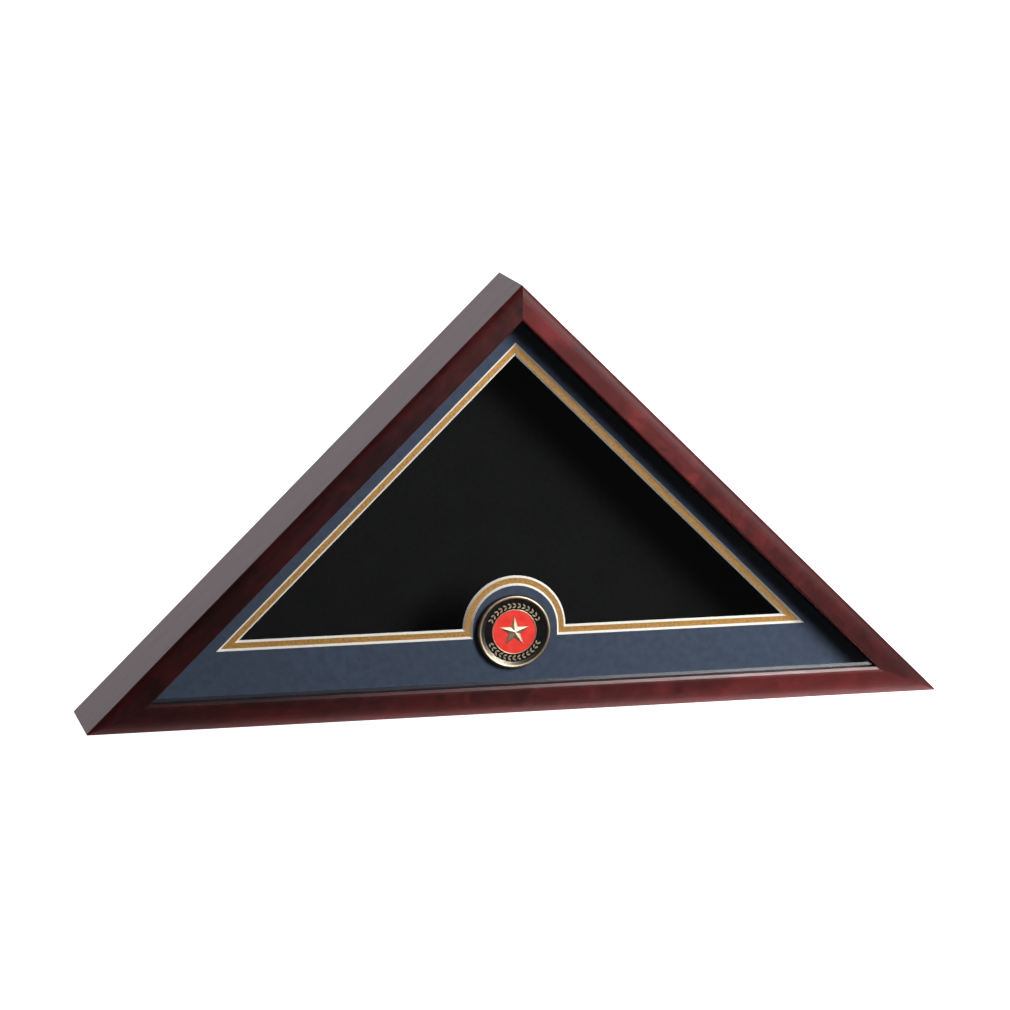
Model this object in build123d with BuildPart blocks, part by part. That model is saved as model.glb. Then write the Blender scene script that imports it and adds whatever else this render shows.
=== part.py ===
"""Triangular wooden display case for a folded ceremonial flag.

Three mitred hardwood rails carry, from the front: a glass pane, black spacers, a blue mat and a gold mat with a
bevelled window, felt liners, and a lift-out back panel that six turn buttons hold in. An enamelled medallion sits
on the blue mat under the window's arch.

Frame: X across the case, Y from front to back, Z up. The origin is the middle of the base, halfway through the
rails' depth. Everything is in millimetres.
"""

import os
from math import atan2, cos, radians, sin, sqrt

from build123d import *

# ---- Case -----------------------------------------------------------------------------------------------------
WIDTH = 648.0  # base, corner to corner, before the tips are eased
HEIGHT = 319.0  # base to apex
DEPTH = 76.2  # front face to back face of the rails
FRONT = -DEPTH / 2
BACK = DEPTH / 2
TIP_EASING = 1.5  # radius on the three outer corners
EASING_OFFSET = 0.5  # how far the easing outline stands outside the faces

# ---- Rail section: u runs inward from the outer face, v runs back from the front face --------------------------
FACE_WIDTH = 18.5
WALL = 12.0  # thickness of the side wall behind the lip
LIP = 10.5  # depth of the lip in front of the glass
SWELL_WIDTH = 8.0  # the face falls away over this width towards the outer edge
SWELL_DROP = 3.2
INNER_ROUND = 1.5
BACK_ROUND = 1.0

# ---- Layers behind the lip -------------------------------------------------------------------------------------
GLASS = 2.0
SPACER = 9.5
SPACER_REACH = 19.8  # the spacers stand a little proud of the lip, inward
MAT = 1.5
LINER = 3.0
LAYER_GAP = 0.5  # between a sheet's edge and the wall
SHEET_NIP = 3.0  # the sheets' sharp corners are nipped off
GLASS_FRONT = FRONT + LIP
SPACER_FRONT = GLASS_FRONT + GLASS
BLUE_FRONT = SPACER_FRONT + SPACER
GOLD_FRONT = BLUE_FRONT + MAT
LINER_FRONT = GOLD_FRONT + MAT

# ---- Back panel ------------------------------------------------------------------------------------------------
PANEL = 3.2
FELT = 1.0
PANEL_BACK = BACK - 0.4
PANEL_FRONT = PANEL_BACK - PANEL
FELT_FRONT = PANEL_FRONT - FELT
LINER_BACK = FELT_FRONT - 0.4
PANEL_GAP = 0.8  # between the panel's edge and the wall

# ---- Mat window ------------------------------------------------------------------------------------------------
WINDOW_LEG = 32.1  # from the outer face of a leg to the window's edge in the blue mat
WINDOW_BASE = 52.9  # the same from the base
REVEAL = 7.1  # from the blue mat's window to the back of the gold mat's
ARCH_RADIUS = 32.2  # the blue mat's arch round the medallion
ARCH_Z = 59.7  # height of the arch's centre; its sides drop straight from there
BEVEL = 45.0

# ---- Medallion: h runs forward from its back -------------------------------------------------------------------
MEDAL_X = -1.3  # stuck on by hand, a little left of the middle
MEDAL_Z = 57.6
MEDAL_RADIUS = 27.8
PAD = 1.0
PAD_RADIUS = 21.0
RIM_SHOULDER = 2.2  # the outer wall ends at this height and rolls over to the crest
RIM_ROLL = (27.35, 3.05)  # radius and height of a point on the roll
RIM_TOP = 26.2  # radius of the crest; a wide slope falls from there to the enamel
RIM_CREST = 3.5
RIM_INNER = 22.8
RING_OUTER = 17.0
RING_INNER = 16.3
RING_CREST = 2.6
ENAMEL_FLOOR = 1.7
ENAMEL_TOP = 2.3
EDGE_CHAMFER = 0.4
STAR_RADIUS = 11.8
STAR_WAIST = 4.6
STAR_CREST = 3.3
LEAF_LENGTH = 3.1
LEAF_BULGE = 0.60
LEAF_TOP = 2.6
LEAF_TILT = 30.0
LEAF_ROWS = ((20.95, 1), (18.8, -1))  # radius and side of each row of leaves
SPRAY_LEAVES = 13
SPRAY_START = 27.0  # degrees from +X to each spray's first pair of leaves
SPRAY_END = 153.0

# ---- Turn buttons and screws -----------------------------------------------------------------------------------
BUTTON = 1.2  # thickness
BUTTON_GAP = 0.1  # under and over the button
BUTTON_ROOT = 4.7  # radius round the screw
BUTTON_NOSE = 3.4  # radius at the nose
BUTTON_REACH = 24.0  # pivot to the tip of the nose
BUTTON_LIP = 0.9  # height of the finger lip
BUTTON_LIP_SPAN = 4.0
BUTTON_LIP_WIDTH = 1.4
BUTTON_LIP_SETBACK = 2.4
BUTTON_SOFTENING = 0.25
BUTTON_STATION = 0.24  # distance of each pivot from its rail's middle, as a share of the rail's length
SCREW_RADIUS = 1.45
SCREW_RUNNING_GAP = 0.08
SCREW_LENGTH = 13.0
SCREW_POINT = 2.5
HEAD_RADIUS = 3.3
HEAD_HEIGHT = 1.9
HEAD_EDGE = 0.8
CROSS_SPAN = 3.6
CROSS_WIDTH = 0.8
CROSS_DEPTH = 1.1

# ---- V-nails ---------------------------------------------------------------------------------------------------
NAIL_LEG = 3.2  # each leg's reach along and across the joint
NAIL_SHEET = 0.6
NAIL_DEPTH = 10.0
NAIL_STATIONS = {"left": (13.0, 22.0), "right": (13.0, 22.0), "apex": (4.5, 10.0)}  # along the joint

# ---- Corners of the outer triangle -----------------------------------------------------------------------------
BASE_ANGLE = atan2(HEIGHT, WIDTH / 2)
BACKWARD = Vector(0, 1, 0)
LEFT = Vector(-WIDTH / 2, 0, 0)
RIGHT = Vector(WIDTH / 2, 0, 0)
APEX = Vector(0, 0, HEIGHT)
LEG_LENGTH = (APEX - LEFT).length
INCENTRE = Vector(0, 0, WIDTH * HEIGHT / (WIDTH + 2 * LEG_LENGTH))
CORNERS = {"left": LEFT, "right": RIGHT, "apex": APEX}
RAILS = {"left": (LEFT, APEX), "right": (APEX, RIGHT), "bottom": (RIGHT, LEFT)}


def at_depth(y):
    """The upright plane at depth y that faces the front: its x is X and its y is Z."""
    return Plane.XZ.offset(-y)


def inset_corners(leg_inset, base_inset):
    """Corners of the triangle whose legs and base lie these distances inside the outer faces."""
    leg_line = WIDTH / 2 * sin(BASE_ANGLE) - leg_inset
    half_base = (leg_line - base_inset * cos(BASE_ANGLE)) / sin(BASE_ANGLE)
    return [(-half_base, base_inset), (half_base, base_inset), (0, leg_line / cos(BASE_ANGLE))]


def section_plane(start, end):
    """The plane across a rail at its middle: its x is u, inward, and its y is v, from the front face back."""
    along = (end - start).normalized()
    middle = (start + end) * 0.5 + BACKWARD * FRONT
    return Plane(origin=middle, x_dir=BACKWARD.cross(along), z_dir=along)


def mitre_plane(corner, middle):
    """The plane that halves a corner, with its normal towards the middle of the rail that is kept."""
    bisector = (INCENTRE - corner).normalized()
    normal = bisector.cross(BACKWARD)
    if normal.dot(middle - corner) < 0:
        normal = normal * -1
    return Plane(origin=corner, x_dir=BACKWARD, z_dir=normal)


def export(builder, name):
    """Labels a finished sub-part and writes its STEP file."""
    builder.part.label = name
    export_step(builder.part, f"parts/{name}.step")


def mitred_strip(start, end, profile):
    """A strip along one side of the triangle with this (u, v) profile, cut to the corners' mitre planes."""
    plane = section_plane(start, end)
    middle = (start + end) * 0.5
    with BuildPart() as strip:
        with BuildSketch(plane):
            Polygon(*profile, align=None)
        extrude(amount=(end - start).length / 2, both=True)
        split(bisect_by=mitre_plane(start, middle), keep=Keep.TOP)
        split(bisect_by=mitre_plane(end, middle), keep=Keep.TOP)
    return strip


def rail(start, end, hardware):
    """One mitred moulding: a lip in front, a side wall behind it, and a face that swells and falls outward."""
    plane = section_plane(start, end)
    middle = (start + end) * 0.5
    with BuildPart() as moulding:
        with BuildSketch(plane):
            with BuildLine():
                EllipticalCenterArc(
                    (SWELL_WIDTH, SWELL_DROP), SWELL_WIDTH, SWELL_DROP, 180, arc_size=90
                )
                Line((SWELL_WIDTH, 0), (FACE_WIDTH - INNER_ROUND, 0))
                TangentArc(
                    (FACE_WIDTH - INNER_ROUND, 0), (FACE_WIDTH, INNER_ROUND), tangent=(1, 0)
                )
                Polyline(
                    (FACE_WIDTH, INNER_ROUND),
                    (FACE_WIDTH, LIP),
                    (WALL, LIP),
                    (WALL, DEPTH),
                    (BACK_ROUND, DEPTH),
                )
                TangentArc((BACK_ROUND, DEPTH), (0, DEPTH - BACK_ROUND), tangent=(-1, 0))
                Line((0, DEPTH - BACK_ROUND), (0, SWELL_DROP))
            make_face()
        extrude(amount=(end - start).length / 2, both=True)
        split(bisect_by=mitre_plane(start, middle), keep=Keep.TOP)
        split(bisect_by=mitre_plane(end, middle), keep=Keep.TOP)
        with BuildSketch(at_depth(BACK + 1)):
            Polygon(*inset_corners(-EASING_OFFSET, -EASING_OFFSET), align=None)
            fillet(vertices(), TIP_EASING)
        extrude(amount=DEPTH + 2, mode=Mode.INTERSECT)
        for piece in hardware:
            add(piece, mode=Mode.SUBTRACT)
    return moulding


def sheet(inset, front, thickness):
    """A triangular sheet whose edges lie this far inside the outer faces, with its sharp corners nipped off."""
    with BuildPart() as panel:
        with BuildSketch(at_depth(front + thickness)):
            Polygon(*inset_corners(inset, inset), align=None)
            chamfer(vertices(), SHEET_NIP)
        extrude(amount=thickness)
    return panel


def window(inset):
    """The window, this far inside its edge on the blue mat's face, arched over the medallion."""
    left, right, top = inset_corners(WINDOW_LEG + inset, WINDOW_BASE + inset)
    radius, foot = ARCH_RADIUS + inset, left[1]
    with BuildSketch(Plane.XY, mode=Mode.PRIVATE) as outline:
        with BuildLine():
            if foot < ARCH_Z:
                Polyline(left, (-radius, foot), (-radius, ARCH_Z))
                ThreePointArc((-radius, ARCH_Z), (0, ARCH_Z + radius), (radius, ARCH_Z))
                Polyline((radius, ARCH_Z), (radius, foot), right, top, left)
            else:
                half = sqrt(radius**2 - (foot - ARCH_Z) ** 2)
                Line(left, (-half, foot))
                ThreePointArc((-half, foot), (0, ARCH_Z + radius), (half, foot))
                Polyline((half, foot), right, top, left)
        make_face()
    return outline.sketch


def mat(front, inset):
    """A mat board whose window is cut at 45 degrees, so that it is wider at the face than at the back."""
    with BuildPart() as board:
        with BuildSketch(at_depth(front + MAT)):
            Polygon(*inset_corners(WALL + LAYER_GAP, WALL + LAYER_GAP), align=None)
            chamfer(vertices(), SHEET_NIP)
        extrude(amount=MAT)
        with BuildSketch(at_depth(front + MAT)):
            add(window(inset + MAT))
        extrude(amount=MAT, taper=-BEVEL, mode=Mode.SUBTRACT)
    return board


# ---- V-nails in the three mitres -------------------------------------------------------------------------------
def v_nails(corner, stations):
    """Folded steel nails across one mitre, driven in flush with the rails' back face."""
    bisector = (INCENTRE - corner).normalized()
    tip = NAIL_LEG + NAIL_SHEET / sqrt(2)
    inner = NAIL_LEG - NAIL_SHEET / sqrt(2)
    with BuildPart() as nails:
        for station in stations:
            origin = corner + bisector * station + BACKWARD * BACK
            with BuildSketch(Plane(origin=origin, x_dir=bisector, z_dir=-BACKWARD)):
                Polygon(
                    (0, 0),
                    (NAIL_LEG, NAIL_LEG),
                    (tip, inner),
                    (NAIL_SHEET * sqrt(2), 0),
                    (tip, -inner),
                    (NAIL_LEG, -NAIL_LEG),
                    align=None,
                )
            extrude(amount=NAIL_DEPTH)
    return nails


# ---- Turn buttons ----------------------------------------------------------------------------------------------
def button_plane(start, end, side, flip):
    """The plane on a rail's back face at a pivot: its x is the way the nose points and its z is backward."""
    along = (end - start).normalized()
    centre = (start + end) * 0.5 + along * (side * BUTTON_STATION * (end - start).length)
    inward = BACKWARD.cross(along)
    return Plane(
        origin=centre + inward * (WALL / 2) + BACKWARD * BACK, x_dir=along * flip, z_dir=BACKWARD
    )


# Each button's rail, its side of the rail's middle, and whether its nose points along the rail or against it.
# The noses on the legs point down and those on the base point at each other.
BUTTONS = {
    "left_low": ("left", -1, -1),
    "left_high": ("left", 1, -1),
    "right_high": ("right", -1, 1),
    "right_low": ("right", 1, 1),
    "base_right": ("bottom", -1, 1),
    "base_left": ("bottom", 1, -1),
}
BUTTON_PLANES = {
    name: button_plane(*RAILS[rail_name], side, flip)
    for name, (rail_name, side, flip) in BUTTONS.items()
}


def turn_button(plane):
    """A stamped tab, lying along its rail, with a hole for its screw and a raised finger lip near the nose."""
    with BuildPart() as tab:
        with BuildSketch(plane.offset(BUTTON_GAP)):
            Circle(BUTTON_ROOT)
            with Locations((BUTTON_REACH - BUTTON_NOSE, 0)):
                Circle(BUTTON_NOSE)
            make_hull()
            Circle(SCREW_RADIUS + SCREW_RUNNING_GAP, mode=Mode.SUBTRACT)
        extrude(amount=BUTTON)
        outline = tab.faces().sort_by(Axis.Y)[-1].outer_wire()
        fillet(outline.edges(), BUTTON_SOFTENING)
        with BuildSketch(plane.offset(BUTTON_GAP + BUTTON)):
            with Locations((BUTTON_REACH - BUTTON_LIP_SETBACK, 0)):
                RectangleRounded(BUTTON_LIP_WIDTH, BUTTON_LIP_SPAN, BUTTON_LIP_WIDTH * 0.45)
        extrude(amount=BUTTON_LIP)
        fillet(tab.faces().sort_by(Axis.Y)[-1].edges(), BUTTON_SOFTENING)
    return tab


HEAD_SEAT = BUTTON + 2 * BUTTON_GAP  # height of the screw head's underside over the rail's back face


def screw():
    """A pan-head wood screw on the Z axis: its seat is at z = 0 and its head is above."""
    with BuildPart() as fastener:
        with BuildSketch(Plane.XZ):
            with BuildLine():
                TangentArc((0, HEAD_HEIGHT), (HEAD_RADIUS, HEAD_EDGE), tangent=(1, 0))
                Polyline(
                    (HEAD_RADIUS, HEAD_EDGE),
                    (HEAD_RADIUS, 0),
                    (SCREW_RADIUS, 0),
                    (SCREW_RADIUS, SCREW_POINT - SCREW_LENGTH),
                    (0, -SCREW_LENGTH),
                    (0, HEAD_HEIGHT),
                )
            make_face()
        revolve(axis=Axis.Z)
        with BuildSketch(Plane.XY.offset(HEAD_HEIGHT)):
            Rectangle(CROSS_SPAN, CROSS_WIDTH)
            Rectangle(CROSS_WIDTH, CROSS_SPAN)
        extrude(amount=-CROSS_DEPTH, mode=Mode.SUBTRACT)
    return fastener


# ---- Medallion -------------------------------------------------------------------------------------------------
MEDAL_BACK = BLUE_FRONT - PAD
MEDAL_ORIGIN = (MEDAL_X, MEDAL_BACK, MEDAL_Z)
MEDAL_PLANE = Plane(origin=MEDAL_ORIGIN, x_dir=(1, 0, 0), z_dir=(0, -1, 0))
MEDAL_SECTION = Plane(origin=MEDAL_ORIGIN, x_dir=(1, 0, 0), z_dir=(0, 0, -1))
STAR_POINTS = [
    (radius * cos(radians(90 + 36 * i)), radius * sin(radians(90 + 36 * i)))
    for i, radius in enumerate((STAR_RADIUS, STAR_WAIST) * 5)
]


def leaf_locations():
    """Where the laurel leaves stand: an upper and a lower spray, each two rows of leaves leaning apart."""
    step = (SPRAY_END - SPRAY_START) / (SPRAY_LEAVES - 1)
    places = []
    for spray in (0, 180):
        for index in range(SPRAY_LEAVES):
            angle = spray + SPRAY_START + index * step
            for radius, side in LEAF_ROWS:
                spot = Vector(radius, 0).rotate(Axis.Z, angle)
                places.append(Location((spot.X, spot.Y), angle + 90 - side * LEAF_TILT))
    return places


def leaves(mode=Mode.ADD):
    """Inside a sketch on the medallion's plane: all the leaves."""
    with BuildSketch(mode=Mode.PRIVATE) as leaf:
        with BuildLine():
            ThreePointArc((-LEAF_LENGTH / 2, 0), (0, LEAF_BULGE), (LEAF_LENGTH / 2, 0))
            ThreePointArc((LEAF_LENGTH / 2, 0), (0, -LEAF_BULGE), (-LEAF_LENGTH / 2, 0))
        make_face()
    with Locations(*leaf_locations()):
        add(leaf.sketch, mode=mode)


def build_medallion():
    """The struck body with its rim, inner ring, leaves and faceted star."""
    with BuildPart() as body:
        with BuildSketch(MEDAL_SECTION):
            with BuildLine():
                Polyline(
                    (0, ENAMEL_FLOOR),
                    (0, 0),
                    (MEDAL_RADIUS - EDGE_CHAMFER, 0),
                    (MEDAL_RADIUS, EDGE_CHAMFER),
                    (MEDAL_RADIUS, RIM_SHOULDER),
                )
                ThreePointArc((MEDAL_RADIUS, RIM_SHOULDER), RIM_ROLL, (RIM_TOP, RIM_CREST))
                Polyline(
                    (RIM_TOP, RIM_CREST),
                    (RIM_INNER, ENAMEL_TOP),
                    (RIM_INNER, ENAMEL_FLOOR),
                    (RING_OUTER, ENAMEL_FLOOR),
                    (RING_OUTER, ENAMEL_TOP),
                )
                ring_middle = (RING_OUTER + RING_INNER) / 2
                ThreePointArc(
                    (RING_OUTER, ENAMEL_TOP), (ring_middle, RING_CREST), (RING_INNER, ENAMEL_TOP)
                )
                Polyline(
                    (RING_INNER, ENAMEL_TOP), (RING_INNER, ENAMEL_FLOOR), (0, ENAMEL_FLOOR)
                )
            make_face()
        revolve(axis=Axis(MEDAL_ORIGIN, (0, -1, 0)))
        with BuildSketch(MEDAL_PLANE.offset(ENAMEL_FLOOR)):
            leaves()
        extrude(amount=LEAF_TOP - ENAMEL_FLOOR)
        with BuildSketch(MEDAL_PLANE.offset(ENAMEL_FLOOR)):
            Polygon(*STAR_POINTS, align=None)
        extrude(amount=ENAMEL_TOP - ENAMEL_FLOOR)
        with BuildSketch(MEDAL_PLANE.offset(ENAMEL_TOP)) as star:
            Polygon(*STAR_POINTS, align=None)
        crest = Vertex(*MEDAL_PLANE.from_local_coords(Vector(0, 0, STAR_CREST)))
        loft(sections=[star.sketch.face(), crest], ruled=True)
    return body


def build_black_enamel():
    with BuildPart() as enamel:
        with BuildSketch(MEDAL_PLANE.offset(ENAMEL_FLOOR)):
            Circle(RIM_INNER)
            Circle(RING_OUTER, mode=Mode.SUBTRACT)
            leaves(mode=Mode.SUBTRACT)
        extrude(amount=ENAMEL_TOP - ENAMEL_FLOOR)
    return enamel


def build_red_enamel():
    with BuildPart() as enamel:
        with BuildSketch(MEDAL_PLANE.offset(ENAMEL_FLOOR)):
            Circle(RING_INNER)
            Polygon(*STAR_POINTS, align=None, mode=Mode.SUBTRACT)
        extrude(amount=ENAMEL_TOP - ENAMEL_FLOOR)
    return enamel


def build_medallion_pad():
    with BuildPart() as pad:
        with BuildSketch(at_depth(BLUE_FRONT)):
            with Locations((MEDAL_X, MEDAL_Z)):
                Circle(PAD_RADIUS)
        extrude(amount=PAD)
    return pad


# ---- The whole case --------------------------------------------------------------------------------------------
def main():
    os.makedirs("parts", exist_ok=True)

    nails = {name: v_nails(corner, NAIL_STATIONS[name]) for name, corner in CORNERS.items()}
    for name, group in nails.items():
        export(group, f"v_nails_{name}")

    one_screw = screw()
    with BuildPart() as screws:
        with Locations(*[plane.offset(HEAD_SEAT).location for plane in BUTTON_PLANES.values()]):
            add(one_screw.part)
    export(screws, "turn_button_screws")

    hardware = [group.part for group in nails.values()] + [screws.part]
    for name, (start, end) in RAILS.items():
        export(rail(start, end, hardware), f"{name}_rail")

    spacer_front, spacer_back = LIP + GLASS, LIP + GLASS + SPACER
    liner_front, liner_back = LINER_FRONT - FRONT, LINER_BACK - FRONT
    spacer_profile = [
        (WALL, spacer_front),
        (SPACER_REACH, spacer_front),
        (SPACER_REACH, spacer_back),
        (WALL, spacer_back),
    ]
    liner_profile = [
        (WALL, liner_front),
        (WALL + LINER, liner_front),
        (WALL + LINER, liner_back),
        (WALL, liner_back),
    ]
    for name, (start, end) in RAILS.items():
        export(mitred_strip(start, end, spacer_profile), f"glass_spacer_{name}")
        export(mitred_strip(start, end, liner_profile), f"felt_liner_{name}")

    export(sheet(WALL + LAYER_GAP, GLASS_FRONT, GLASS), "glass_pane")
    export(mat(BLUE_FRONT, 0), "blue_mat")
    export(mat(GOLD_FRONT, REVEAL - MAT), "gold_mat")
    export(sheet(WALL + PANEL_GAP, PANEL_FRONT, PANEL), "back_panel")
    export(sheet(WALL + PANEL_GAP + 1, FELT_FRONT, FELT), "back_panel_felt")

    export(build_medallion(), "medallion_body")
    export(build_black_enamel(), "medallion_black_enamel")
    export(build_red_enamel(), "medallion_red_enamel")
    export(build_medallion_pad(), "medallion_foam_pad")

    for name, plane in BUTTON_PLANES.items():
        export(turn_button(plane), f"turn_button_{name}")
        pivot = plane.origin
        print(f"turn_button_{name} pivot {pivot.X:.3f} {pivot.Y:.3f} {pivot.Z:.3f}")


main()
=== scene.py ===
"""Final looks for the folded flag display case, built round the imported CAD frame.

Units are metres. +X runs across the case, +Y from the glass to the back panel and +Z up. The origin
is the middle of the base, halfway through the rails' depth.
"""

from math import atan2, cos, pi, radians, sin

import bmesh
import bpy
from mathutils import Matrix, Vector
from mathutils.noise import noise as lattice_noise


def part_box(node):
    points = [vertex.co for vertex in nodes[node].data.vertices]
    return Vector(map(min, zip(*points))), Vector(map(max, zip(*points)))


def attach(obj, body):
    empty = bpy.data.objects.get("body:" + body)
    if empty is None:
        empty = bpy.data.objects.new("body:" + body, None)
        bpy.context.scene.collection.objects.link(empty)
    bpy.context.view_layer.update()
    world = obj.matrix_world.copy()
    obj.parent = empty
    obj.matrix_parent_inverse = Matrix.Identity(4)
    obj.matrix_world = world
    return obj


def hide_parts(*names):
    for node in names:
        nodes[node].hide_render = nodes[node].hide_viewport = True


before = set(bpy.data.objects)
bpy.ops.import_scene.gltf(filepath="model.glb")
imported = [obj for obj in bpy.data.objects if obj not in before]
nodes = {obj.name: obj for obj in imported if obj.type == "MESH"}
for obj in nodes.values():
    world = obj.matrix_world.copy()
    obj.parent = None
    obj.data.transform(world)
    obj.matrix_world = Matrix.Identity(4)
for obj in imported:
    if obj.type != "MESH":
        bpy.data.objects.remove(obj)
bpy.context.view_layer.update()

# ---- Sizes that the looks depend on --------------------------------------------------------------
HALF_WIDTH = 0.324  # of the base, before the tips are eased
HEIGHT = 0.319
LEG_ANGLE = atan2(HEIGHT, HALF_WIDTH)
LEG_LINE = HALF_WIDTH * sin(LEG_ANGLE)  # from the middle of the base to the outer face of a leg
RAIL_ANGLES = {"left": LEG_ANGLE, "right": -LEG_ANGLE, "bottom": 0.0}

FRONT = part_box("bottom_rail")[0].y
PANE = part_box("glass_pane")[0].y
SWELL_STEEP, SWELL_FLAT = 0.003, 0.009  # from a rail's outer face, where its swell levels out

MEDAL_LOW, MEDAL_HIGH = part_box("medallion_body")
MEDAL_CENTRE = (MEDAL_LOW + MEDAL_HIGH) / 2
RIM_FOOT, RIM_TOP = 0.0228, 0.0262  # radii where the medallion's rim starts and where it crests

LINER_OUTER, LINER_INNER = 0.012, 0.015  # the liner strips' faces, from the rails' outer faces
WRAP_TURN = 0.0010  # radius of the felt's turns over a strip's edges
WRAP_THICKNESS = 0.0008
BACK_FELT_INSET = 0.0138  # from the rails' outer faces to the edges of the back panel's felt
FELT_NIP = 0.003  # its sharp corners are nipped off
PAD_BULGE = 0.00025  # how far the squeezed foam stands out at its edge

# ---- Camera and light ----------------------------------------------------------------------------
LENS, SENSOR = 145.14, 36.0  # millimetres
CAMERA_AT = (-0.6899, -2.8877, 0.7205)
CAMERA_TURN = (radians(90 - 10.883), radians(-0.130), radians(-13.336))

KEY_AT = Vector((0.57, FRONT - 0.73, 0.48))
KEY_AIM = Vector((0.05, FRONT, 0.12))
KEY_POWER = 17.3
KEY_SIZE = (0.36, 0.47)
GLINT_SHARE = 0.84  # of the softbox's power, in its mirror image in the pane
GLINT_SHIFT = Vector((0.10, 0, 0))

SKY_COLOUR = (0.955, 0.975, 1.03, 1)
SKY_FRONT, SKY_BACK = 0.030, 0.75  # strength of the sky in front of the case and behind it
SKY_WINDOW = 3.7  # strength of the bright window high up behind the case, on top of that

FLOOR_REACH = 30.0
FLOOR_DROP = 0.0003  # the floor lies this far under the case
FLOOR_EMISSION = 0.92
GLOW_REACH = 0.34  # half the length of the lit strip under the case's front edge
GLOW_NEAR, GLOW_FAR = 0.002, -0.007  # its edges, behind the case's front face and before it
GLOW_RISE = (-0.33, 0.25)  # from left to right, where its strength starts and stops rising
GLOW_LEFT, GLOW_RIGHT = 2.2, 9.5  # its strength before that and after it


# ---- Node helpers --------------------------------------------------------------------------------
def new_material(name):
    material = bpy.data.materials.new(name)
    material.use_nodes = True
    material.node_tree.nodes.clear()
    return material, material.node_tree


def add(tree, kind, inputs=None, **settings):
    """A node of this kind; inputs maps its sockets' names or numbers to values or outputs."""
    node = tree.nodes.new(kind)
    for key, value in settings.items():
        setattr(node, key, value)
    for key, value in (inputs or {}).items():
        if isinstance(value, bpy.types.NodeSocket):
            tree.links.new(value, node.inputs[key])
        else:
            node.inputs[key].default_value = value
    return node


def place(tree, angle=0.0, shift=(0, 0, 0)):
    """Object coordinates turned about Y by angle, then moved."""
    coordinates = add(tree, "ShaderNodeTexCoord").outputs["Object"]
    inputs = {"Vector": coordinates, "Rotation": (0, angle, 0), "Location": shift}
    return add(tree, "ShaderNodeMapping", inputs).outputs[0]


def stretch(tree, vector, scale):
    inputs = {0: vector, 1: scale}
    return add(tree, "ShaderNodeVectorMath", inputs, operation="MULTIPLY").outputs[0]


def axis(tree, vector, number):
    """One of a vector's three coordinates, by its number."""
    return add(tree, "ShaderNodeSeparateXYZ", {0: vector}).outputs[number]


def noise(tree, vector, scale=1.0, detail=2.0, rough=0.5, distortion=0.0):
    inputs = {"Vector": vector, "Scale": scale, "Detail": detail}
    inputs |= {"Roughness": rough, "Distortion": distortion}
    return add(tree, "ShaderNodeTexNoise", inputs).outputs[0]


def ramp(tree, value, low, high, out_low=0.0, out_high=1.0, smooth=True):
    """Maps low..high to out_low..out_high, held at both ends."""
    inputs = {"Value": value, "From Min": low, "From Max": high}
    inputs |= {"To Min": out_low, "To Max": out_high}
    kind = "SMOOTHSTEP" if smooth else "LINEAR"
    return add(tree, "ShaderNodeMapRange", inputs, interpolation_type=kind).outputs[0]


def maths(tree, operation, first, second=0.0):
    return add(tree, "ShaderNodeMath", {0: first, 1: second}, operation=operation).outputs[0]


def total(tree, first, *others):
    for other in others:
        first = maths(tree, "ADD", first, other)
    return first


def product(tree, first, second):
    return maths(tree, "MULTIPLY", first, second)


def mix(tree, share, first, second):
    """A colour from first to second by share; plain colours are (r, g, b)."""
    inputs = {0: share}
    for socket, colour in ((6, first), (7, second)):
        inputs[socket] = colour if isinstance(colour, bpy.types.NodeSocket) else (*colour, 1)
    return add(tree, "ShaderNodeMix", inputs, data_type="RGBA").outputs[2]


def bump(tree, height, distance, strength=1.0, normal=None):
    inputs = {"Height": height, "Distance": distance, "Strength": strength}
    if normal is not None:
        inputs["Normal"] = normal
    return add(tree, "ShaderNodeBump", inputs).outputs[0]


def finish_shader(tree, **inputs):
    """The Principled shader and the output; inputs are its sockets, with underscores for spaces."""
    sockets = {name.replace("_", " "): value for name, value in inputs.items()}
    shader = add(tree, "ShaderNodeBsdfPrincipled", sockets).outputs[0]
    add(tree, "ShaderNodeOutputMaterial", {"Surface": shader})


# ---- Wood ----------------------------------------------------------------------------------------
def from_edge(tree, angle):
    """Distance in from the outer face of the rail that lies at this angle."""
    inward, start = ((sin(angle), 0, -cos(angle)), LEG_LINE) if angle else ((0, 0, 1), 0.0)
    inputs = {0: place(tree), 1: inward}
    across = add(tree, "ShaderNodeVectorMath", inputs, operation="DOT_PRODUCT").outputs["Value"]
    return total(tree, across, start)


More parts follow.
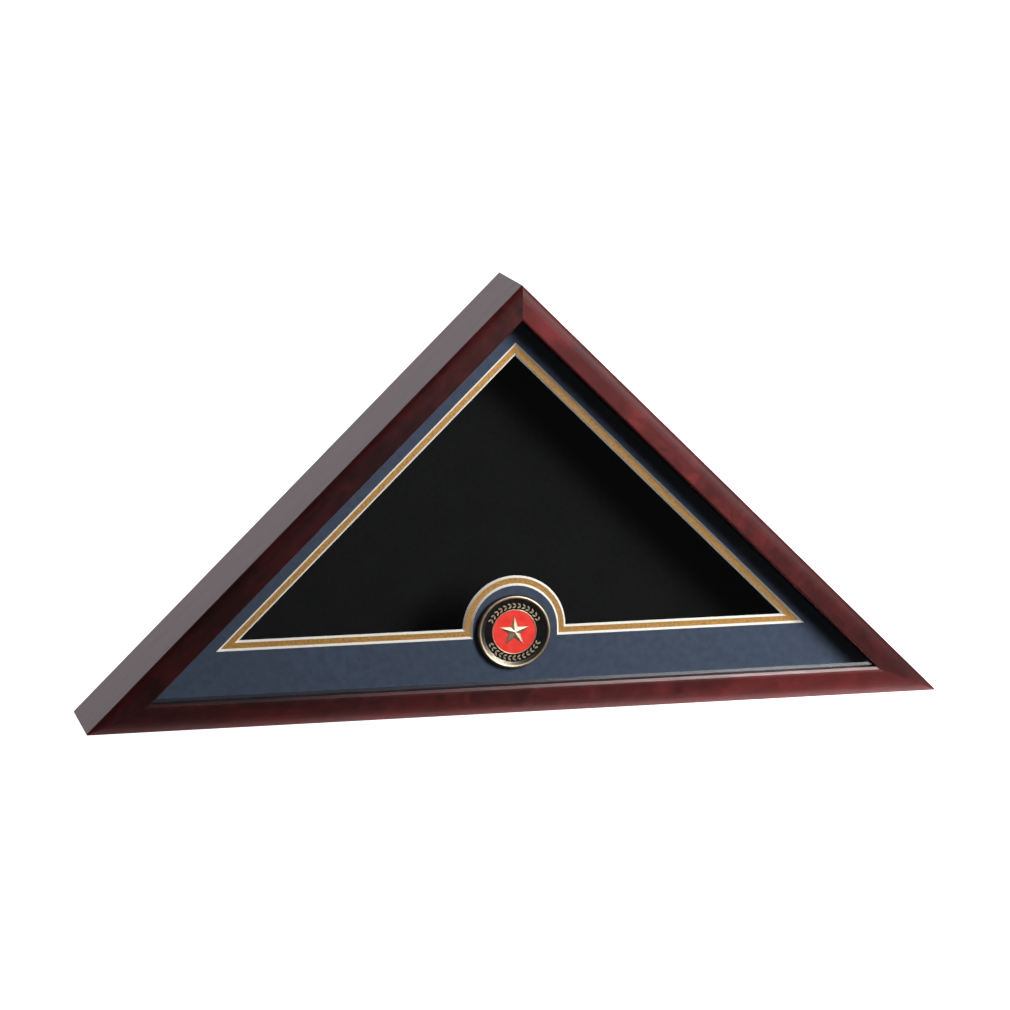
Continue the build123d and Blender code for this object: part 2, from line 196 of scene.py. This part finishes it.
def mahogany(name, angle, shift, sheen, varnish, patchy):
    """Dark red stained hardwood under a satin varnish, its grain along a rail at this angle.

    Sheen is the strength of the fibres' own red gloss, varnish that of the clear coat over them,
    and patchy how unevenly the stain took, from 0 to 1. The fibres' gloss spreads across the grain.
    """
    deep, warm = (0.0045, 0.0011, 0.0012), (0.0310, 0.0034, 0.0036)
    stain, line, pit = (0.0045, 0.0010, 0.0011), (0.0040, 0.0010, 0.0011), (0.0030, 0.0008, 0.0008)
    material, tree = new_material(name)
    grain = place(tree, angle, shift)
    figure = noise(tree, stretch(tree, grain, (12, 60, 60)), detail=5, rough=0.6, distortion=0.8)
    blotch = noise(tree, stretch(tree, grain, (34, 52, 52)), detail=3, rough=0.5)
    fibre = noise(tree, stretch(tree, grain, (28, 900, 900)), detail=3, rough=0.65)
    pore = noise(tree, stretch(tree, grain, (150, 2600, 2600)), detail=1)
    pore = ramp(tree, pore, 0.60, 0.70)
    wave = noise(tree, stretch(tree, grain, (55, 85, 85)), detail=1.5, rough=0.45, distortion=0.35)

    colour = mix(tree, ramp(tree, figure, 0.34, 0.68), deep, warm)
    colour = mix(tree, ramp(tree, blotch, 0.40, 0.72, 0, 0.40 + 0.5 * patchy), colour, stain)
    colour = mix(tree, ramp(tree, fibre, 0.50, 0.80, 0, 0.45), colour, line)
    colour = mix(tree, product(tree, pore, 0.65), colour, pit)

    patches = total(tree, blotch, figure)
    smooth, dull = 0.59 - 0.06 * patchy, 0.67 + 0.08 * patchy
    gloss = total(
        tree,
        ramp(tree, patches, 0.80, 1.20, smooth, dull),
        ramp(tree, fibre, 0.5, 0.8, 0, 0.05),
        ramp(tree, from_edge(tree, angle), SWELL_STEEP, SWELL_FLAT, 0.14, 0),
    )

    depth = axis(tree, place(tree), 1)
    strength = ramp(tree, depth, FRONT + 0.002, FRONT + 0.010, 0.5, 0.08)
    normal = bump(tree, wave, 0.0030, strength)
    normal = bump(tree, fibre, 0.00001, 0.4, normal)
    normal = bump(tree, product(tree, pore, -1.0), 0.00001, 0.5, normal)

    along = add(tree, "ShaderNodeCombineXYZ", {0: cos(angle), 1: 0.0, 2: sin(angle)}).outputs[0]
    finish_shader(
        tree,
        Base_Color=colour,
        Roughness=gloss,
        Normal=normal,
        Specular_IOR_Level=sheen,
        Specular_Tint=(1.0, 0.10, 0.10, 1.0),
        Anisotropic=0.85,
        Anisotropic_Rotation=0.25,
        Tangent=along,
        Coat_Weight=varnish,
        Coat_Roughness=0.50,
        Coat_IOR=1.5,
    )
    return material


# ---- Mat board -----------------------------------------------------------------------------------
def paper_grain(tree, distance):
    """Coordinates and a normal for board with a fine, slightly felted surface."""
    coordinates = place(tree)
    fine = noise(tree, coordinates, 1400, 3, 0.6)
    soft = noise(tree, coordinates, 260, 3, 0.55)
    return coordinates, bump(tree, total(tree, fine, soft), distance, 0.5)


def blue_board():
    """Slate blue mat board, faintly mottled."""
    material, tree = new_material("blue_mat_paper")
    coordinates, normal = paper_grain(tree, 0.00006)
    mottle = noise(tree, coordinates, 170, 4, 0.65)
    cloud = noise(tree, coordinates, 28, 3, 0.5)
    fleck = noise(tree, coordinates, 900, 2, 0.5)
    colour = mix(tree, ramp(tree, mottle, 0.32, 0.68), (0.040, 0.055, 0.088), (0.053, 0.070, 0.107))
    colour = mix(tree, ramp(tree, cloud, 0.35, 0.70, 0, 0.35), colour, (0.046, 0.058, 0.092))
    colour = mix(tree, ramp(tree, fleck, 0.62, 0.74, 0, 0.5), colour, (0.025, 0.034, 0.058))
    rough = ramp(tree, mottle, 0.2, 0.8, 0.82, 0.95)
    finish_shader(tree, Base_Color=colour, Roughness=rough, Normal=normal, Specular_IOR_Level=0.2)
    return material


def gold_board():
    """Mat board faced with dull gold foil."""
    material, tree = new_material("gold_mat_foil_paper")
    coordinates, normal = paper_grain(tree, 0.00008)
    mottle = noise(tree, coordinates, 620, 4, 0.7)
    fleck = noise(tree, coordinates, 1500, 2, 0.6)
    colour = mix(tree, ramp(tree, mottle, 0.30, 0.70), (0.30, 0.142, 0.031), (0.60, 0.312, 0.080))
    colour = mix(tree, ramp(tree, fleck, 0.60, 0.75, 0, 0.5), colour, (0.22, 0.100, 0.022))
    finish_shader(
        tree,
        Base_Color=colour,
        Roughness=ramp(tree, mottle, 0.2, 0.8, 0.50, 0.62),
        Normal=normal,
        Metallic=0.35,
        Specular_IOR_Level=0.4,
    )
    return material


def board_core():
    """The pale core of mat board, cut clean with a knife."""
    material, tree = new_material("mat_core")
    coordinates = place(tree)
    strands = noise(tree, coordinates, 1100, 3, 0.6)
    colour = mix(tree, ramp(tree, strands, 0.3, 0.7), (0.74, 0.70, 0.635), (0.86, 0.83, 0.775))
    rough = ramp(tree, strands, 0.3, 0.7, 0.75, 0.9)
    normal = bump(tree, strands, 0.00004, 0.4)
    finish_shader(tree, Base_Color=colour, Roughness=rough, Normal=normal)
    return material


# ---- Glass ---------------------------------------------------------------------------------------
def pane_glass():
    """Clear sheet glass: it mirrors more towards grazing and passes the rest straight on."""
    material, tree = new_material("sheet_glass")
    facing = add(tree, "ShaderNodeLayerWeight", {"Blend": 0.5}).outputs["Facing"]
    rise = maths(tree, "POWER", facing, 5.0)
    share = ramp(tree, rise, 0.0, 1.0, 0.04, 1.0, smooth=False)
    clear = add(tree, "ShaderNodeBsdfTransparent", {"Color": (0.985, 0.992, 0.99, 1)}).outputs[0]
    inputs = {"Color": (1, 1, 1, 1), "Roughness": 0.02}
    mirror = add(tree, "ShaderNodeBsdfGlossy", inputs).outputs[0]
    both = add(tree, "ShaderNodeMixShader", {0: share, 1: clear, 2: mirror}).outputs[0]
    add(tree, "ShaderNodeOutputMaterial", {"Surface": both})
    return material


# ---- Black spacers, felt, hardboard, foam --------------------------------------------------------
def black_spacer():
    """Smooth black plastic with faint marks along its length."""
    material, tree = new_material("spacer_black")
    coordinates = place(tree)
    drag = noise(tree, stretch(tree, coordinates, (60, 900, 900)), detail=3)
    colour = mix(tree, ramp(tree, drag, 0.3, 0.7), (0.012, 0.012, 0.014), (0.022, 0.022, 0.026))
    rough = ramp(tree, drag, 0.3, 0.7, 0.20, 0.26)
    finish_shader(tree, Base_Color=colour, Roughness=rough, Normal=bump(tree, drag, 0.000001, 0.2))
    return material


def black_felt():
    """Black felt with a fine fuzz, longer wisps and a patchy nap."""
    material, tree = new_material("felt_black")
    coordinates = place(tree)
    fuzz = noise(tree, coordinates, 1600, 4, 0.75)
    wisp = noise(tree, coordinates, 320, 3, 0.6, 1.5)
    nap = noise(tree, coordinates, 24, 3, 0.5)
    dark, pale, flat = (0.0020, 0.0020, 0.0021), (0.0058, 0.0058, 0.0060), (0.0017, 0.0017, 0.0018)
    colour = mix(tree, ramp(tree, fuzz, 0.35, 0.7), dark, pale)
    colour = mix(tree, ramp(tree, nap, 0.35, 0.7, 0, 0.5), colour, flat)
    finish_shader(
        tree,
        Base_Color=colour,
        Roughness=ramp(tree, wisp, 0.3, 0.7, 0.88, 1.0),
        Normal=bump(tree, total(tree, fuzz, wisp), 0.0003, 0.6),
        Specular_IOR_Level=0.15,
        Sheen_Weight=0.03,
        Sheen_Roughness=0.5,
    )
    return material


def hardboard():
    """Brown pressed fibreboard with long pale and dark fibres."""
    material, tree = new_material("hardboard_fibre")
    coordinates = place(tree)
    fibres = noise(tree, coordinates, 300, 6, 0.75, 2.0)
    specks = noise(tree, coordinates, 900, 3, 0.7)
    cloud = noise(tree, coordinates, 12, 3, 0.5)
    colour = mix(tree, ramp(tree, fibres, 0.34, 0.66), (0.105, 0.052, 0.024), (0.205, 0.112, 0.056))
    colour = mix(tree, ramp(tree, specks, 0.60, 0.72, 0, 0.75), colour, (0.045, 0.021, 0.010))
    colour = mix(tree, ramp(tree, cloud, 0.35, 0.65, 0, 0.4), colour, (0.145, 0.078, 0.040))
    finish_shader(
        tree,
        Base_Color=colour,
        Roughness=ramp(tree, fibres, 0.3, 0.7, 0.62, 0.82),
        Normal=bump(tree, total(tree, fibres, specks), 0.00012, 0.5),
        Specular_IOR_Level=0.3,
    )
    return material


def white_foam():
    """Off-white foam with fine cells."""
    material, tree = new_material("adhesive_foam")
    cells = noise(tree, place(tree), 2200, 3, 0.7)
    colour = mix(tree, ramp(tree, cells, 0.35, 0.65), (0.62, 0.61, 0.57), (0.80, 0.79, 0.75))
    finish_shader(
        tree,
        Base_Color=colour,
        Roughness=ramp(tree, cells, 0.3, 0.7, 0.8, 0.95),
        Normal=bump(tree, cells, 0.0001, 0.6),
    )
    return material


# ---- Metals and enamels --------------------------------------------------------------------------
def scratched_metal(name, bright, dull, rough, grime):
    """Plated metal with fine scratches, handling marks and a little grime."""
    material, tree = new_material(name)
    coordinates = place(tree)
    scratch = noise(tree, stretch(tree, coordinates, (240, 5200, 5200)), detail=3, rough=0.6)
    smear = noise(tree, coordinates, 420, 4, 0.65)
    colour = mix(tree, ramp(tree, smear, 0.35, 0.70), bright, dull)
    colour = mix(tree, ramp(tree, smear, 0.62, 0.80, 0, 0.6), colour, grime)
    smeared = ramp(tree, smear, 0.3, 0.75, rough, rough + 0.16)
    finish_shader(
        tree,
        Base_Color=colour,
        Roughness=total(tree, smeared, ramp(tree, scratch, 0.5, 0.8, 0, 0.08)),
        Metallic=1.0,
        Normal=bump(tree, scratch, 0.00001, 0.35),
    )
    return material


def antique_gold():
    """Pale gold leaves and star, with patina between them, in a dark rim rubbed bright on top."""
    hollow, pale = (0.30, 0.20, 0.10), (0.88, 0.75, 0.53)
    patina, bare = (0.105, 0.092, 0.072), (0.56, 0.45, 0.30)
    material, tree = new_material("antique_gold")
    coordinates = place(tree)
    smear = noise(tree, coordinates, 700, 4, 0.7)
    worn = ramp(tree, smear, 0.25, 0.6, 0.65, 1.0)

    depth = axis(tree, coordinates, 1)
    raised = ramp(tree, depth, MEDAL_LOW.y + 0.0014, MEDAL_LOW.y + 0.0007)
    inputs = {0: coordinates, 1: MEDAL_CENTRE}
    from_centre = add(tree, "ShaderNodeVectorMath", inputs, operation="SUBTRACT").outputs[0]
    inputs = {0: stretch(tree, from_centre, (1, 0, 1))}
    radius = add(tree, "ShaderNodeVectorMath", inputs, operation="LENGTH").outputs["Value"]
    rim = ramp(tree, radius, RIM_FOOT - 0.0004, RIM_FOOT - 0.0001)
    past_crest = maths(tree, "SUBTRACT", radius, RIM_TOP + 0.0002)
    from_crest = maths(tree, "ABSOLUTE", past_crest)
    rubbed = product(tree, ramp(tree, from_crest, 0.0014, 0.0006), worn)

    inside = mix(tree, product(tree, raised, worn), hollow, pale)
    colour = mix(tree, rim, inside, mix(tree, rubbed, patina, bare))
    rough = total(
        tree,
        ramp(tree, rim, 0, 1, 0.44, 0.33),
        ramp(tree, smear, 0.4, 0.8, 0, 0.08),
        ramp(tree, product(tree, rubbed, rim), 0, 1, 0, 0.15),
    )
    normal = bump(tree, smear, 0.00002, 0.4)
    finish_shader(tree, Base_Color=colour, Roughness=rough, Metallic=1.0, Normal=normal)
    return material


def enamel(name, deep, bright):
    """Hard enamel, ground flat and polished, with a faint ripple and tiny pits."""
    material, tree = new_material(name)
    coordinates = place(tree)
    cloud = noise(tree, coordinates, 160, 3, 0.5)
    pits = noise(tree, coordinates, 2600, 2, 0.5)
    colour = mix(tree, ramp(tree, cloud, 0.3, 0.7), deep, bright)
    pitted = ramp(tree, pits, 0.68, 0.8)
    rough = total(tree, ramp(tree, cloud, 0.3, 0.7, 0.10, 0.17), product(tree, pitted, 0.3))
    normal = bump(tree, cloud, 0.00006, 0.3)
    normal = bump(tree, pitted, 0.00001, 0.3, normal)
    finish_shader(
        tree,
        Base_Color=colour,
        Roughness=rough,
        Normal=normal,
        Coat_Weight=0.5,
        Coat_Roughness=0.05,
    )
    return material


# ---- Putting the finishes on ---------------------------------------------------------------------
def paint(name, material):
    """One finish all over a CAD node."""
    mesh = nodes[name].data
    mesh.materials.clear()
    mesh.materials.append(material)


def paint_bevels(name, face, core):
    """A mat board's finish: the face's own colour in front and the pale core on every cut edge."""
    mesh = nodes[name].data
    mesh.materials.clear()
    mesh.materials.append(face)
    mesh.materials.append(core)
    for polygon in mesh.polygons:
        polygon.material_index = 0 if polygon.normal.y < -0.9 else 1


# side, offset of its grain, sheen, varnish, patchiness
for side, *finish in (
    ("left", (0.31, 0.07, 0.13), 0.74, 0.26, 0.1),
    ("right", (1.73, 0.42, 0.58), 0.69, 0.28, 0.8),
    ("bottom", (3.17, 0.91, 0.27), 0.47, 0.20, 0.8),
):
    paint(f"{side}_rail", mahogany(f"mahogany_{side}", RAIL_ANGLES[side], *finish))

felt = black_felt()
spacer = black_spacer()
core = board_core()
paint("glass_pane", pane_glass())
for side in RAIL_ANGLES:
    paint(f"glass_spacer_{side}", spacer)
paint_bevels("blue_mat", blue_board(), core)
paint_bevels("gold_mat", gold_board(), core)
paint("back_panel", hardboard())
paint("medallion_body", antique_gold())

# enamel, its deep colour, its bright colour
for shade, *colours in (
    ("black", (0.004, 0.004, 0.004), (0.009, 0.009, 0.010)),
    ("red", (0.86, 0.045, 0.035), (0.95, 0.070, 0.055)),
):
    paint(f"medallion_{shade}_enamel", enamel(f"enamel_{shade}", *colours))

# metal, bright colour, dull colour, least roughness, colour of its grime
metals = {}
for name, *look in (
    ("nail_steel", (0.52, 0.52, 0.53), (0.36, 0.35, 0.34), 0.32, (0.14, 0.10, 0.07)),
    ("button_brass", (0.80, 0.62, 0.30), (0.58, 0.43, 0.19), 0.24, (0.22, 0.15, 0.06)),
    ("screw_brass", (0.84, 0.67, 0.35), (0.62, 0.47, 0.22), 0.18, (0.24, 0.17, 0.08)),
):
    metals[name] = scratched_metal(name, *look)
for name in nodes:
    if name.startswith("v_nails_"):
        paint(name, metals["nail_steel"])
    elif name == "turn_button_screws":
        paint(name, metals["screw_brass"])
    elif name.startswith("turn_button_"):
        paint(name, metals["button_brass"])


# ---- Felt and foam pieces ------------------------------------------------------------------------
def inset_corners(leg_inset, base_inset):
    """Corners (x, z) of the triangle whose sides lie these distances inside the outer faces."""
    leg_line = LEG_LINE - leg_inset
    half_base = (leg_line - base_inset * cos(LEG_ANGLE)) / sin(LEG_ANGLE)
    return {
        "left": Vector((-half_base, base_inset)),
        "right": Vector((half_base, base_inset)),
        "apex": Vector((0, leg_line / cos(LEG_ANGLE))),
    }


def soft_piece(name, points, faces, material, body, slot, replaced):
    """A piece from points and faces, smooth except at its edges, that replaces a CAD node."""
    mesh = bpy.data.meshes.new(name)
    mesh.from_pydata(points, [], faces)
    work = bmesh.new()
    work.from_mesh(mesh)
    bmesh.ops.recalc_face_normals(work, faces=work.faces)
    work.to_mesh(mesh)
    work.free()
    mesh.polygons.foreach_set("use_smooth", [True] * len(mesh.polygons))
    mesh.set_sharp_from_angle(angle=radians(50))
    mesh.materials.append(material)
    piece = bpy.data.objects.new(name, mesh)
    bpy.context.scene.collection.objects.link(piece)
    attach(piece, body)
    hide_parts(replaced)
    return piece


def shell(outer, inner):
    """Points and faces of a closed shell between two equal grids, each a list of rows of points."""
    rows, columns = len(outer), len(outer[0])
    points = [p for grid in (outer, inner) for row in grid for p in row]

    def at(layer, i, j):
        return (layer * rows + i) * columns + j

    faces = []
    for i in range(rows - 1):
        for j in range(columns - 1):
            square = ((i, j), (i + 1, j), (i + 1, j + 1), (i, j + 1))
            faces += [[at(layer, *corner) for corner in square] for layer in (0, 1)]
    around = [(i, 0) for i in range(rows)]
    around += [(rows - 1, j) for j in range(1, columns)]
    around += [(i, columns - 1) for i in range(rows - 2, -1, -1)]
    around += [(0, j) for j in range(columns - 2, 0, -1)]
    for first, second in zip(around, around[1:] + around[:1]):
        faces.append([at(0, *first), at(0, *second), at(1, *second), at(1, *first)])
    return points, faces


def unevenness(point, scale, depth):
    """From 0 to depth, smoothly varying over 1 / scale metres."""
    return depth * (0.5 + 0.5 * lattice_noise(Vector(point) * scale))


def lerp(low, high, share):
    return low + (high - low) * share


def back_felt():
    """The felt on the back panel's inner face, glued flat but not quite even."""
    low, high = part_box("back_panel_felt")
    full = inset_corners(BACK_FELT_INSET, BACK_FELT_INSET)
    rows, columns = 110, 150
    outer, inner = [], []
    for i in range(rows + 1):
        z = lerp(low.z, high.z, i / rows)
        half = full["right"].x * (full["apex"].y - z) / (full["apex"].y - full["right"].y)
        half = min(half, full["right"].x - FELT_NIP + (z - low.z))
        front, back = [], []
        for j in range(columns + 1):
            x = half * (2 * j / columns - 1)
            dip = unevenness((x, 0, z), 30, 0.00018) + unevenness((x, 3, z), 160, 0.00010)
            front.append((x, low.y + dip, z))
            back.append((x, high.y, z))
        outer.append(front)
        inner.append(back)
    names = ("back_panel", "black_felt", "back_panel_felt")
    piece = soft_piece("felt_on_back_panel", *shell(outer, inner), felt, *names)


def wrap_section(low_y, high_y):
    """The felt's section round a liner strip, from its back edge to its front one.

    Each point is (u, y, a, b): u in from the rail's outer face, y back, and (a, b) the way out of the
    felt there, along u and y.
    """
    start, end, turn = LINER_OUTER, LINER_INNER, WRAP_TURN
    middle = (start + end - turn) / 2
    steps, turn_steps = 24, 4
    quarter = [radians(90 * k / turn_steps) for k in range(turn_steps + 1)]
    back, front = high_y - turn, low_y + turn
    section = [(start, high_y, 0, 1), (middle, high_y, 0, 1)]
    for a in quarter:
        section.append((end - turn + turn * sin(a), back + turn * cos(a), sin(a), cos(a)))
    for k in range(1, steps):
        section.append((end, lerp(back, front, k / steps), 1, 0))
    for a in quarter:
        section.append((end - turn + turn * cos(a), front - turn * sin(a), cos(a), -sin(a)))
    section += [(middle, low_y, 0, -1), (start, low_y, 0, -1)]
    return section


def felt_wrap(side, start, end):
    """The felt round one liner strip: over its back edge, its inner face and its front edge."""
    low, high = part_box(f"felt_liner_{side}")
    section = wrap_section(low.y, high.y)
    stations = 200

    def point(u, y, share):
        corners = inset_corners(u, u)
        x, z = corners[start].lerp(corners[end], share)
        return x, y, z

    outer, inner = [], []
    for k in range(stations + 1):
        share = k / stations
        skin, lining = [], []
        for u, y, a, b in section:
            x, _, z = point(u, y, share)
            dip = unevenness((x, y, z), 40, 0.00014) + unevenness((x, y + 2, z), 170, 0.00008)
            skin.append(point(u - dip * a, y - dip * b, share))
            lining.append(point(u - WRAP_THICKNESS * a, y - WRAP_THICKNESS * b, share))
        outer.append(skin)
        inner.append(lining)
    names = ("case", "black_felt", f"felt_liner_{side}")
    piece = soft_piece(f"felt_wrap_{side}", *shell(outer, inner), felt, *names)


def foam_pad():
    """The round pad behind the medallion, squeezed so that its edge bulges a little."""
    low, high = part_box("medallion_foam_pad")
    radius, thick = (high.x - low.x) / 2, high.y - low.y
    turns = 120
    cx, cz = (low.x + high.x) / 2, (low.z + high.z) / 2
    face_steps, edge_steps = 8, 6
    profile = [(k / face_steps, 0.0) for k in range(face_steps + 1)]
    profile += [(1.0, k / edge_steps) for k in range(1, edge_steps + 1)]
    profile += [(1 - k / face_steps, 1.0) for k in range(1, face_steps + 1)]
    points, faces = [(cx, low.y, cz), (cx, high.y, cz)], []
    rings = profile[1:-1]
    for share, level in rings:
        for k in range(turns):
            angle = 2 * pi * k / turns
            out = Vector((cos(angle), 0, sin(angle)))
            reach = (radius - PAD_BULGE) * share
            if share == 1.0:
                reach += 0.8 * PAD_BULGE * sin(pi * level) + unevenness(out, 14, 0.2 * PAD_BULGE)
            points.append((cx + reach * out.x, low.y + thick * level, cz + reach * out.z))
    last = 2 + (len(rings) - 1) * turns
    for k in range(turns):
        following = (k + 1) % turns
        faces.append([0, 2 + k, 2 + following])
        faces.append([1, last + following, last + k])
        for ring in range(len(rings) - 1):
            a = 2 + ring * turns
            faces.append([a + k, a + turns + k, a + turns + following, a + following])
    names = ("case", "foam", "medallion_foam_pad")
    piece = soft_piece("medallion_foam", points, faces, white_foam(), *names)


back_felt()
felt_wrap("left", "left", "apex")
felt_wrap("right", "apex", "right")
felt_wrap("bottom", "right", "left")
foam_pad()


# ---- Floor ---------------------------------------------------------------------------------------
def flat_piece(name, low, high, z, material):
    """A level rectangle between two corners (x, y), for the stage."""
    mesh = bpy.data.meshes.new(name)
    (x0, y0), (x1, y1) = low, high
    mesh.from_pydata([(x0, y0, z), (x1, y0, z), (x1, y1, z), (x0, y1, z)], [], [(0, 1, 2, 3)])
    mesh.materials.append(material)
    piece = bpy.data.objects.new(name, mesh)
    bpy.context.scene.collection.objects.link(piece)
    return piece


def make_floor():
    """A plain pale floor. It lights and mirrors nothing, so the case keeps its deep shadows."""
    material, tree = new_material("floor_white")
    soft = noise(tree, place(tree), 3.0, 2, 0.5)
    finish_shader(
        tree,
        Base_Color=mix(tree, soft, (0.82, 0.82, 0.82), (0.86, 0.86, 0.86)),
        Roughness=0.9,
        Specular_IOR_Level=0.1,
        Emission_Color=(1, 1, 1, 1),
        Emission_Strength=FLOOR_EMISSION,
    )
    reach = FLOOR_REACH
    floor = flat_piece("studio_floor", (-reach, -reach), (reach, reach), -FLOOR_DROP, material)
    floor.visible_diffuse = False
    floor.visible_glossy = False
    return floor


def make_floor_glow():
    """The lit floor under the case's front edge, seen only mirrored in the bottom rail's swell."""
    material, tree = new_material("floor_glow")
    across = axis(tree, place(tree), 0)
    strength = ramp(tree, across, *GLOW_RISE, GLOW_LEFT, GLOW_RIGHT, smooth=False)
    inputs = {"Color": (1, 1, 1, 1), "Strength": strength}
    glow = add(tree, "ShaderNodeEmission", inputs).outputs[0]
    add(tree, "ShaderNodeOutputMaterial", {"Surface": glow})
    low, high = (-GLOW_REACH, FRONT + GLOW_FAR), (GLOW_REACH, FRONT + GLOW_NEAR)
    strip = flat_piece("floor_glow", low, high, 0, material)
    strip.visible_camera = False
    strip.visible_diffuse = False
    strip.visible_shadow = False
    strip.visible_transmission = False


# ---- Light ---------------------------------------------------------------------------------------
def area_light(name, place_at, aim, power):
    light = bpy.data.lights.new(name, "AREA")
    light.shape = "RECTANGLE"
    light.size, light.size_y = KEY_SIZE
    light.energy = power
    lamp = bpy.data.objects.new(name, light)
    lamp.location = place_at
    lamp.rotation_euler = (aim - place_at).to_track_quat("-Z", "Y").to_euler()
    bpy.context.scene.collection.objects.link(lamp)
    return lamp


def mirrored(point):
    """Where the pane's front face shows this point."""
    return Vector((point.x, 2 * PANE - point.y, point.z))


def linked(name, *pieces):
    """A collection of pieces for light linking."""
    collection = bpy.data.collections.new(name)
    for piece in pieces:
        collection.objects.link(piece)
    return collection


def make_softbox(floor):
    """A softbox, and its mirror image in the pane, which lights only the ledges beside it."""
    area_light("key_softbox", KEY_AT, KEY_AIM, KEY_POWER)
    image_at = mirrored(KEY_AT) - GLINT_SHIFT
    image = area_light("softbox_in_pane", image_at, mirrored(KEY_AIM), KEY_POWER * GLINT_SHARE)
    image.visible_camera = False
    ledges = linked("ledges", nodes["bottom_rail"], nodes["glass_spacer_bottom"])
    image.light_linking.receiver_collection = ledges
    image.light_linking.blocker_collection = linked("glint_blockers", floor)


def make_sky():
    """A dim room with a bright window high up behind the case, against a white backdrop."""
    world = bpy.data.worlds.new("studio")
    bpy.context.scene.world = world
    world.use_nodes = True
    sky = world.node_tree
    sky.nodes.clear()
    direction = add(sky, "ShaderNodeTexCoord").outputs["Generated"]
    backward, upward = axis(sky, direction, 1), axis(sky, direction, 2)
    room = ramp(sky, backward, 0.0, 0.6, SKY_FRONT, SKY_BACK)
    behind = ramp(sky, backward, 0.45, 0.95, 0, SKY_WINDOW)
    window = product(sky, behind, ramp(sky, upward, -0.05, 0.20))
    inputs = {"Color": SKY_COLOUR, "Strength": total(sky, room, window)}
    lit = add(sky, "ShaderNodeBackground", inputs).outputs[0]
    plain = add(sky, "ShaderNodeBackground", {"Color": (1, 1, 1, 1), "Strength": 1.0}).outputs[0]
    seen = add(sky, "ShaderNodeLightPath").outputs["Is Camera Ray"]
    both = add(sky, "ShaderNodeMixShader", {0: seen, 1: lit, 2: plain}).outputs[0]
    add(sky, "ShaderNodeOutputWorld", {"Surface": both})


# ---- Camera --------------------------------------------------------------------------------------
def make_camera():
    data = bpy.data.cameras.new("camera")
    data.lens, data.sensor_width = LENS, SENSOR
    camera = bpy.data.objects.new("camera", data)
    camera.location, camera.rotation_euler = CAMERA_AT, CAMERA_TURN
    bpy.context.scene.collection.objects.link(camera)
    bpy.context.scene.camera = camera


make_softbox(make_floor())
make_floor_glow()
make_sky()
make_camera()
bpy.context.scene.view_settings.view_transform = "Standard"
bpy.context.scene.view_settings.look = "None"
